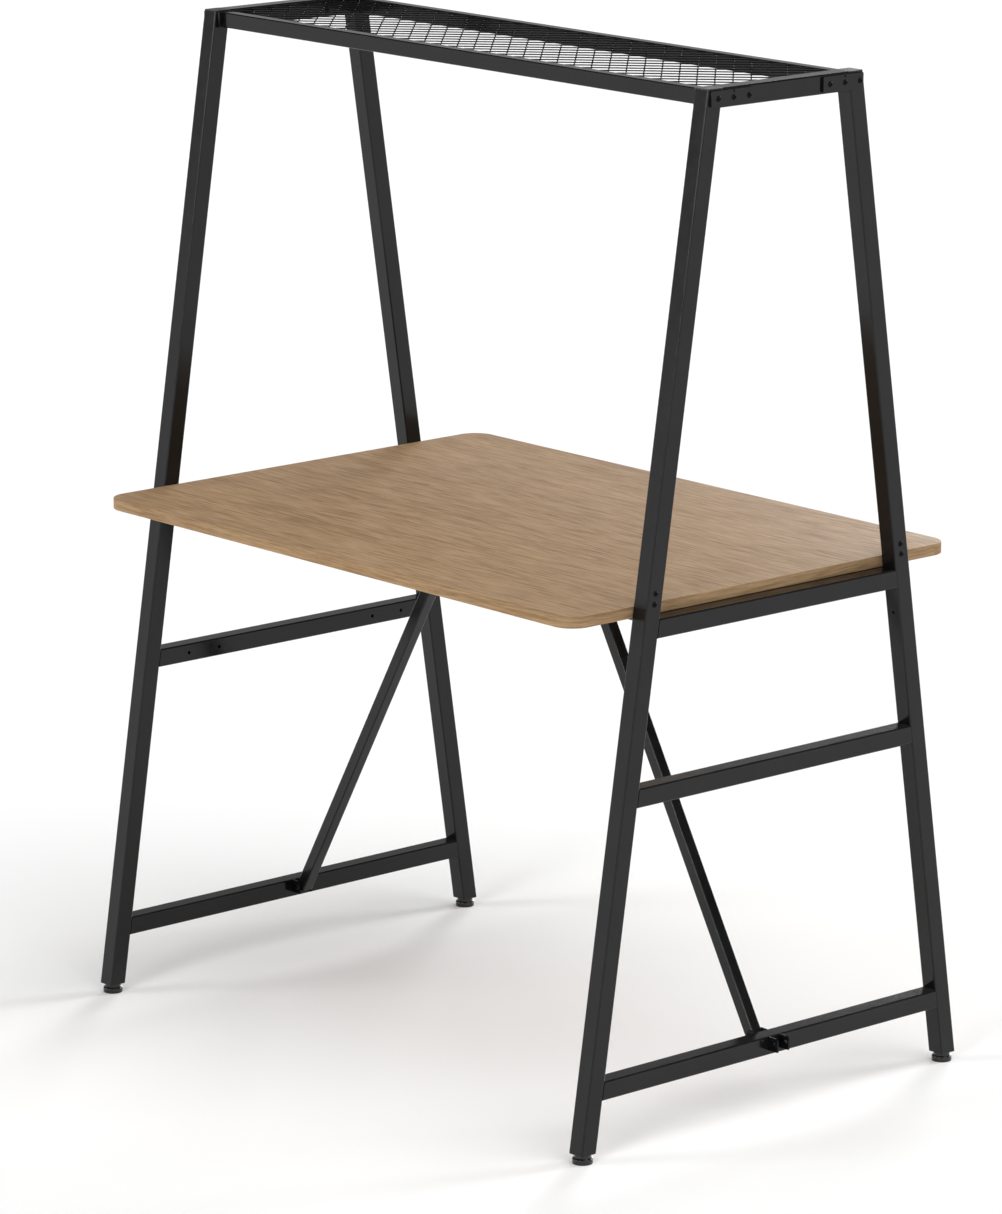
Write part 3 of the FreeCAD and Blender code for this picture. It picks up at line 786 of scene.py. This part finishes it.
# The head's straight foot as a share of its height, its flat crown as a share of its radius, and the ends and
# handles of the curve between them as shares of radius and height
FOOT_SHARE = 0.10
CROWN_SHARE = 0.50
DOME = {"Start": (1.0, FOOT_SHARE), "Start Handle": (0.98, 0.62), "End Handle": (0.78, 1.0),
        "End": (CROWN_SHARE, 1.0)}

# A packed screw's points past this share of its widest radius are on the rim of its head
RIM_SHARE = 0.97

# Screws whose lengths agree to this many digits, in metres, are of one size
LENGTH_DIGITS = 4


def screw_tree(name):
    """Geometry Nodes: a button-head screw with a hexagon socket on each point, turned to its heading."""
    tree, given = new_tree(name, {
        "Seats": "Geometry", "Head Radius": "Float", "Head Height": "Float", "Shank Radius": "Float",
        "Shank Length": "Float", "Socket Width": "Float", "Socket Depth": "Float",
        "Material": "Material"}, "Screws")
    radius, height, depth = given["Head Radius"], given["Head Height"], given["Socket Depth"]

    def times(first, second):
        return combine(tree, "MULTIPLY", first, second)

    def less(first, second):
        return combine(tree, "SUBTRACT", first, second)

    curve = put(tree, "GeometryNodeCurvePrimitiveBezierSegment", {"Resolution": DOME_STEPS})
    for label, (out, up) in DOME.items():
        feed(tree, curve, {label: vector(tree, x=times(radius, out), z=times(height, up))})
    dome = revolve(tree, curve.outputs[0], HEAD_SIDES)

    # The flat crown has the socket's hexagon cut out of it, and the socket has walls and a floor of its own
    socket_radius = times(given["Socket Width"], 1.0 / (2.0 * cos(pi / SOCKET_SIDES)))
    rims = joined(tree, circle(tree, HEAD_SIDES, times(radius, CROWN_SHARE)),
                  circle(tree, SOCKET_SIDES, socket_radius))
    crown = raised(tree, put(tree, "GeometryNodeFillCurve", {"Curve": rims}, mode="NGONS").outputs[0], height)
    wall = raised(tree, cylinder(tree, SOCKET_SIDES, socket_radius, depth, fill="NONE"),
                  less(height, times(depth, 0.5)))
    wall = put(tree, "GeometryNodeFlipFaces", {"Mesh": wall}).outputs[0]
    floor = put(tree, "GeometryNodeMeshCircle", {
        "Vertices": SOCKET_SIDES, "Radius": socket_radius}, fill_type="NGON").outputs[0]
    floor = raised(tree, floor, less(height, depth))

    foot = raised(tree, cylinder(tree, HEAD_SIDES, radius, times(height, FOOT_SHARE)),
                  times(height, FOOT_SHARE / 2))
    shank = raised(tree, cylinder(tree, SHANK_SIDES, given["Shank Radius"], given["Shank Length"]),
                   times(given["Shank Length"], -0.5))
    screw = joined(tree, dome, crown, wall, floor, foot, shank)
    heading = attribute(tree, "heading", "FLOAT_VECTOR")
    turned = put(tree, "FunctionNodeAlignRotationToVector", {"Vector": heading}, axis="Z").outputs[0]
    placed = put(tree, "GeometryNodeInstanceOnPoints", {
        "Points": given["Seats"], "Instance": screw, "Rotation": turned}).outputs[0]
    end_tree(tree, placed, given["Material"], "Screws")
    return tree


def screw_seats(node):
    """Seat, heading, and sizes of the head and shank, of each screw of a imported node."""
    screws = []
    for points in islands(node):
        low, high = extent(points)
        size, middle = high - low, (low + high) / 2
        # A screw is as wide as it is high, seen along its own axis
        axis = min(range(3), key=lambda k: abs(size[k - 1] - size[k - 2]))
        first, second = [k for k in range(3) if k != axis]
        radii = [(p[axis], hypot(p[first] - middle[first], p[second] - middle[second])) for p in points]
        head_radius = max(r for _, r in radii)
        rim = [level for level, r in radii if r > RIM_SHARE * head_radius]
        seat, heading = middle.copy(), Vector()
        if sum(rim) / len(rim) > middle[axis]:
            heading[axis] = 1
            seat[axis], tip, tail = min(rim), high[axis], low[axis]
        else:
            heading[axis] = -1
            seat[axis], tip, tail = max(rim), low[axis], high[axis]
        shank_radius = max(r for level, r in radii if abs(level - tail) < LEVEL_MARGIN)
        screws.append((seat, heading, {
            "Head Radius": head_radius, "Head Height": abs(tip - seat[axis]),
            "Shank Radius": shank_radius, "Shank Length": abs(tail - seat[axis])}))
    return screws


def make_screws(node, sizes, materials):
    """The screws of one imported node, with domed heads and hexagon sockets."""
    tree = bpy.data.node_groups.get("Button head screws") or screw_tree("Button head screws")
    groups = {}
    for seat, heading, screw in screw_seats(node):
        groups.setdefault(round(screw["Shank Length"], LENGTH_DIGITS), []).append((seat, heading, screw))
    bm = bmesh.new()
    for group in groups.values():
        seats = bmesh.new()
        headings = seats.verts.layers.float_vector.new("heading")
        for seat, heading, _ in group:
            vert = seats.verts.new(seat)
            vert[headings] = heading
        points = object_from(node + "_seats", seats)
        with_tree(points, tree, {
            **group[0][2], "Socket Width": sizes.socket_width, "Socket Depth": sizes.socket_depth,
            "Material": materials["black_fixing"]})
        add_result(bm, points)
    bmesh.ops.remove_doubles(bm, verts=bm.verts, dist=MERGE_DISTANCE)
    bmesh.ops.recalc_face_normals(bm, faces=bm.faces)
    finish_mesh(node + "_heads", bm, BODY, "black_fixings", node, materials["black_fixing"], degrees=35)


# Nuts

# Points round a nut, and the turn that stands its corners upright
NUT_SIDES = 36
NUT_TURN = 2 * pi / 3

# The nut's chamfer as a share of the way from flat to corner, its flat end as a share of the way to the
# flats, the bore's bevel as a share of the chamfer, and how far the chamfer leans in towards the corners
NUT_CHAMFER = 0.35
NUT_FACE = 0.93
NUT_BORE_BEVEL = 0.3
NUT_LEAN = 0.6


def make_nuts(materials):
    """Hexagon nuts with chamfered corners on the brace bolts."""
    bm = bmesh.new()
    for points in islands("brace_nuts"):
        low, high = extent(points)
        centre = (low + high) / 2
        corner = (high.z - low.z) / 2
        flat = corner * cos(pi / 6)
        bore = min(hypot(p.x - centre.x, p.z - centre.z) for p in points)
        chamfer = NUT_CHAMFER * (corner - flat)
        # Radius of each ring and its distance from the nut's end, where no radius means the hexagon itself
        half = [(bore, NUT_BORE_BEVEL * chamfer), (bore + chamfer, 0.0), (NUT_FACE * flat, 0.0),
                (None, 2 * chamfer)]
        rings = []
        for end, inwards, profile in ((low.y, 1, half), (high.y, -1, half[::-1])):
            for radius, inset in profile:
                ring = []
                for k in range(NUT_SIDES):
                    angle = 2 * pi * k / NUT_SIDES
                    reach = flat / cos((angle + pi / 6) % (pi / 3) - pi / 6)
                    out = reach if radius is None else radius
                    lean = NUT_LEAN * (reach - flat) if radius is None else 0.0
                    ring.append(bm.verts.new((
                        centre.x + out * cos(angle + NUT_TURN), end + inwards * (inset + lean),
                        centre.z + out * sin(angle + NUT_TURN))))
                rings.append(ring)
        ring_surface(bm, rings + [rings[0]], closed_ends=False)
    bmesh.ops.recalc_face_normals(bm, faces=bm.faces)
    finish_mesh("brace_nuts_hex", bm, BODY, "black_fixings", "brace_nuts", materials["black_fixing"],
                degrees=20)


# Feet

# Faces round a pad
PAD_SIDES = 48

# Rounds of a pad's sole, of the rim of its deck, of its neck's foot and of its neck's top, and the depth of
# the hollow in its sole, in metres
PAD_SOLE_ROUND = 0.0008
PAD_RIM_ROUND = 0.0016
NECK_FOOT_ROUND = 0.0008
NECK_TOP_ROUND = 0.0006
PAD_HOLLOW = 0.0006

# Where the hollow's flat ends and where it meets the sole, as shares of the pad's radius
PAD_HOLLOW_SHARES = (0.55, 0.60)

# Points this near to the neck's radius are on its wall, and points this far below its top are off it
NECK_MARGIN = 2e-4
NECK_DROP = 1e-4

# Faces round a thread, rows of them in each turn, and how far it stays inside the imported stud, in metres
THREAD_SIDES = 24
THREAD_ROWS = 8.0
THREAD_MARGIN = 2e-5


def make_foot(corner, materials):
    """The foot's moulded pad, with a hollow in its sole, a soft rim and a neck."""
    node = corner + "_foot_pad"
    low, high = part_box(node)
    centre = (low + high) / 2
    wide = (high.x - low.x) / 2
    points = [(hypot(p.x - centre.x, p.y - centre.y), p.z) for group in islands(node) for p in group]
    neck = max(out for out, up in points if up > high.z - LEVEL_MARGIN)
    deck = max(up for out, up in points if up < high.z - NECK_DROP and abs(out - neck) < NECK_MARGIN)
    inner, outer = PAD_HOLLOW_SHARES
    profile = [(inner * wide, low.z + PAD_HOLLOW), (outer * wide, low.z)]
    profile += arc(wide - PAD_SOLE_ROUND, low.z + PAD_SOLE_ROUND, PAD_SOLE_ROUND, -90, 0, steps=4)
    profile += arc(wide - PAD_RIM_ROUND, deck - PAD_RIM_ROUND, PAD_RIM_ROUND, 0, 90, steps=6)
    profile += [(neck + NECK_FOOT_ROUND, deck), (neck, deck + NECK_FOOT_ROUND)]
    profile += arc(neck - NECK_TOP_ROUND, high.z - NECK_TOP_ROUND, NECK_TOP_ROUND, 0, 90, steps=4)
    bm = bmesh.new()
    turns = [2 * pi * k / PAD_SIDES for k in range(PAD_SIDES)]
    rings = [[bm.verts.new((centre.x + out * cos(turn), centre.y + out * sin(turn), up)) for turn in turns]
             for out, up in profile]
    ring_surface(bm, rings)
    bmesh.ops.recalc_face_normals(bm, faces=bm.faces)
    finish_mesh(corner + "_foot_pad_turned", bm, corner + "_foot", "glossy_black_plastic", node,
                materials["foot_plastic"], degrees=40)


def thread_tree(name):
    """Geometry Nodes: a rod with a helical thread, from a grid wrapped round the Z axis."""
    tree, given = new_tree(name, {
        "Start": "Geometry", "Radius": "Float", "Pitch": "Float", "Depth": "Float", "Length": "Float",
        "Material": "Material"}, "Rod")
    turns = combine(tree, "DIVIDE", given["Length"], given["Pitch"])
    rows = put(tree, "FunctionNodeFloatToInt", {0: combine(tree, "MULTIPLY", turns, THREAD_ROWS)}).outputs[0]
    grid, round_share, up_share = share_grid(tree, THREAD_SIDES + 1, rows)
    phase = combine(tree, "SUBTRACT", combine(tree, "MULTIPLY", up_share, turns), round_share)
    ridge = combine(tree, "MULTIPLY", combine(tree, "PINGPONG", phase, 0.5), 2.0)
    dip = combine(tree, "MULTIPLY", combine(tree, "SUBTRACT", 1.0, ridge), given["Depth"])
    rod = wrapped(tree, grid, round_share, combine(tree, "SUBTRACT", given["Radius"], dip),
                  combine(tree, "MULTIPLY", up_share, given["Length"]))
    end_tree(tree, rod, given["Material"], "Rod")
    return tree


def make_stud(corner, sizes, materials):
    """The foot's threaded stud."""
    node = corner + "_foot_stud"
    low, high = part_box(node)
    tree = bpy.data.node_groups.get("Threaded rod") or thread_tree("Threaded rod")
    start = object_from(corner + "_stud_start", bmesh.new())
    with_tree(start, tree, {"Radius": (high.x - low.x) / 2 - THREAD_MARGIN, "Pitch": sizes.thread_pitch,
                            "Depth": sizes.thread_depth, "Length": high.z - low.z,
                            "Material": materials["zinc_plate"]})
    bm = bmesh.new()
    add_result(bm, start)
    bmesh.ops.remove_doubles(bm, verts=bm.verts, dist=MERGE_DISTANCE)
    bmesh.ops.holes_fill(bm, edges=[edge for edge in bm.edges if edge.is_boundary], sides=0)
    bmesh.ops.recalc_face_normals(bm, faces=bm.faces)
    middle = (low + high) / 2
    bmesh.ops.translate(bm, verts=bm.verts, vec=(middle.x, middle.y, low.z))
    finish_mesh(corner + "_foot_stud_threaded", bm, corner + "_foot", "zinc_plated_steel", node,
                materials["zinc_plate"], degrees=50)


# Studio

# Camera of the photo: where it stands, the point it looks at, and its roll
CAMERA_PLACE = Vector((6.8029, -6.0186, 2.8668))
CAMERA_TARGET = Vector((-0.0207, -0.0234, 0.7038))
CAMERA_ROLL = radians(0.0775)

# Width of the camera's frame in mm
SENSOR_WIDTH = 36.0

# How far the camera sees, half the width of the floor, and how far off the lamps' objects stand, in metres
VIEW_END = 200.0
FLOOR_HALF_WIDTH = 60.0
LAMP_DISTANCE = 4.0


def make_floor(studio):
    """A wide pale floor."""
    material = bpy.data.materials.new("studio_floor")
    tree = emptied(material)
    paint = put(tree, "ShaderNodeBsdfDiffuse", {"Color": (*studio.floor_colour, 1.0)}).outputs[0]
    put(tree, "ShaderNodeOutputMaterial", {"Surface": paint})
    bm = bmesh.new()
    bm.faces.new([bm.verts.new((x * FLOOR_HALF_WIDTH, y * FLOOR_HALF_WIDTH, 0))
                  for x, y in ((-1, -1), (1, -1), (1, 1), (-1, 1))])
    floor = object_from("studio_floor", bm, material)


def make_sky(studio):
    """Dim light from all round, and a pale backdrop that only the camera and reflections see."""
    world = bpy.data.worlds.new("studio")
    bpy.context.scene.world = world
    tree = emptied(world)
    way = put(tree, "ShaderNodeTexCoord").outputs["Generated"]
    rise = put(tree, "ShaderNodeSeparateXYZ", {0: way}).outputs["Z"]
    light = spread(tree, rise, studio.sky_low, studio.sky_high, 0.0, 1.0)
    backdrop = spread(tree, rise, studio.backdrop, studio.sky_low, 0.0, studio.backdrop_height)
    horizon = spread(tree, rise, 1.0 - studio.backdrop, 0.0, 0.0, studio.backdrop_blend)
    seen = combine(tree, "ADD", backdrop, horizon)
    path = put(tree, "ShaderNodeLightPath").outputs
    straight = combine(tree, "MAXIMUM", path["Is Camera Ray"], path["Is Glossy Ray"])
    straight = combine(tree, "MAXIMUM", straight, path["Is Transmission Ray"])
    strength = put(tree, "ShaderNodeMix", {"Factor": straight, "A": light, "B": seen}).outputs["Result"]
    sky = put(tree, "ShaderNodeBackground", {"Color": (1, 1, 1, 1), "Strength": strength}).outputs[0]
    put(tree, "ShaderNodeOutputWorld", {"Surface": sky})


def make_lamp(name, strength, width, height, heading):
    """One soft lamp, far away, at an angle above the floor and on one side of the table."""
    lamp = bpy.data.lights.new(name, "SUN")
    lamp.energy = strength
    lamp.angle = width
    holder = linked(name, lamp)
    towards = Vector((cos(height) * cos(heading), cos(height) * sin(heading), sin(height)))
    holder.rotation_mode = "QUATERNION"
    holder.rotation_quaternion = towards.to_track_quat("Z", "Y")
    holder.location = LAMP_DISTANCE * towards


def make_camera(studio):
    """The camera at the photo's place, level apart from a slight roll."""
    data = bpy.data.cameras.new("camera")
    data.lens = studio.focal_length
    data.sensor_width = SENSOR_WIDTH
    data.sensor_fit = "AUTO"
    data.clip_end = VIEW_END
    camera = linked("camera", data)
    camera.location = CAMERA_PLACE
    camera.rotation_mode = "QUATERNION"
    look = (CAMERA_TARGET - CAMERA_PLACE).to_track_quat("-Z", "Y")
    camera.rotation_quaternion = look @ Quaternion((0, 0, 1), CAMERA_ROLL)
    bpy.context.scene.camera = camera


# Operators

class TABLE_OT_steel_frame(Operator):
    """Gives the legs, posts, sleeves, rails, braces and beams their powder coat"""
    bl_idname = "table.steel_frame"
    bl_label = "Steel frame"

    def execute(self, context):
        coat = finishes()["powder_coat"]
        for node in PLAIN_STEEL:
            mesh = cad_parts[node].data
            mesh.materials.clear()
            mesh.materials.append(coat)
        return {"FINISHED"}


class TABLE_OT_plates(Operator):
    """Makes the lugs, plates and brackets with softened edges"""
    bl_idname = "table.plates"
    bl_label = "Plates and brackets"

    def execute(self, context):
        for node, width in SOFTENED_STEEL.items():
            coat = finishes()["lug_coat" if node.endswith("_fork_lugs") else "powder_coat"]
            softened(node, "powder_coated_steel", coat, width)
        return {"FINISHED"}


class TABLE_OT_caps(Operator):
    """Makes the caps on the posts and the plugs in the legs"""
    bl_idname = "table.caps"
    bl_label = "Caps and plugs"

    def execute(self, context):
        plastic = finishes()["cap_plastic"]
        for node, width in SOFTENED_PLASTIC.items():
            softened(node, "black_plastic", plastic, width)
        return {"FINISHED"}


class TABLE_OT_board(Operator):
    """Makes the wood decor board with its edge band"""
    bl_idname = "table.board"
    bl_label = "Board"

    def execute(self, context):
        make_board(context.scene.table_pieces, finishes())
        return {"FINISHED"}


class TABLE_OT_net(Operator):
    """Makes the shelf's net of crossing wires"""
    bl_idname = "table.net"
    bl_label = "Shelf net"

    def execute(self, context):
        make_net(context.scene.table_pieces, finishes())
        return {"FINISHED"}


class TABLE_OT_screws(Operator):
    """Makes the screws, bolts and nuts"""
    bl_idname = "table.screws"
    bl_label = "Screws and nuts"

    def execute(self, context):
        for node in ("joint_screws", "shelf_screws", "beam_screws", "board_screws", "brace_bolts"):
            make_screws(node, context.scene.table_pieces, finishes())
        make_nuts(finishes())
        return {"FINISHED"}


class TABLE_OT_feet(Operator):
    """Makes the four levelling feet"""
    bl_idname = "table.feet"
    bl_label = "Levelling feet"

    def execute(self, context):
        for corner in CORNERS:
            make_foot(corner, finishes())
            make_stud(corner, context.scene.table_pieces, finishes())
        return {"FINISHED"}


class TABLE_OT_studio(Operator):
    """Sets up the floor, the light and the camera"""
    bl_idname = "table.studio"
    bl_label = "Studio"

    def execute(self, context):
        studio = context.scene.table_studio
        make_floor(studio)
        make_sky(studio)
        make_lamp("key", studio.key_strength, studio.key_width, studio.key_height, 0.0)
        make_lamp("side", studio.side_strength, studio.side_width, studio.side_height, studio.side_heading)
        for side, strength, headings in (("rear", studio.rear_strength, studio.rear_headings),
                                         ("front", studio.front_strength, studio.front_headings)):
            for heading in headings:
                make_lamp(side + "_fill", strength, studio.fill_width, studio.fill_height, heading)
        make_camera(studio)
        context.scene.view_settings.view_transform = "Standard"
        return {"FINISHED"}


OPERATORS = (TABLE_OT_steel_frame, TABLE_OT_plates, TABLE_OT_caps, TABLE_OT_board, TABLE_OT_net,
             TABLE_OT_screws, TABLE_OT_feet, TABLE_OT_studio)


class TABLE_PT_panel(Panel):
    """Lists the pieces of the work table and their settings"""
    bl_label = "Work table"
    bl_idname = "TABLE_PT_panel"
    bl_space_type = "VIEW_3D"
    bl_region_type = "UI"
    bl_category = "Work table"

    def draw(self, context):
        layout = self.layout
        for operator in OPERATORS:
            layout.operator(operator.bl_idname)
        for group in (context.scene.table_finish, context.scene.table_pieces, context.scene.table_studio):
            box = layout.box()
            for name in group.bl_rna.properties.keys():
                if name not in ("rna_type", "name"):
                    box.prop(group, name)


CLASSES = (FinishSettings, PieceSettings, StudioSettings) + OPERATORS + (TABLE_PT_panel,)


def register():
    for item in CLASSES:
        bpy.utils.register_class(item)
    bpy.types.Scene.table_finish = PointerProperty(type=FinishSettings)
    bpy.types.Scene.table_pieces = PointerProperty(type=PieceSettings)
    bpy.types.Scene.table_studio = PointerProperty(type=StudioSettings)


def unregister():
    del bpy.types.Scene.table_studio
    del bpy.types.Scene.table_pieces
    del bpy.types.Scene.table_finish
    for item in reversed(CLASSES):
        bpy.utils.unregister_class(item)


def main():
    register()
    for operator in OPERATORS:
        group, name = operator.bl_idname.split(".")
        getattr(getattr(bpy.ops, group), name)()


if __name__ == "__main__":
    main()
